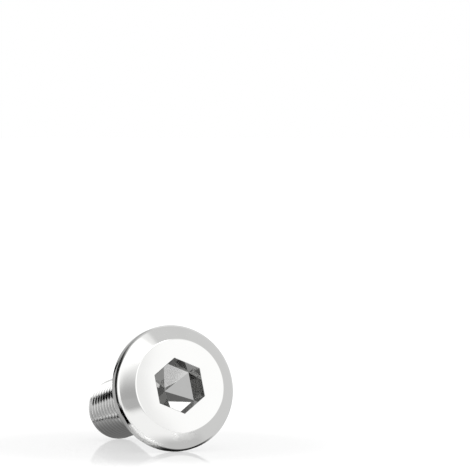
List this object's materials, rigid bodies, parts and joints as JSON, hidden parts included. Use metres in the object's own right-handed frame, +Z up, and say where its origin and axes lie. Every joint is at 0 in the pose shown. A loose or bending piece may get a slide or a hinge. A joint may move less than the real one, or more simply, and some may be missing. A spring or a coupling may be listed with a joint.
{
  "type": "low head hexagon socket screw",
  "caption": "Socket screw with a flat disc head, chamfered rim, hexagonal drive socket and fine right-hand thread, lying on its side.",
  "frame": {"origin": "on the ground under the middle of the screw's box, as it lies on its rim and thread", "axes": "+Z up, the thread points towards +Y and dips 11.8 degrees, the drive face looks towards -Y"},
  "size_m": [0.016, 0.0248, 0.0157],
  "materials": {
    "steel": "polished, with fine turning lines on the head"
  },
  "bodies": {
    "root": {"socket_screw": "steel"}
  },
  "joints": []
}
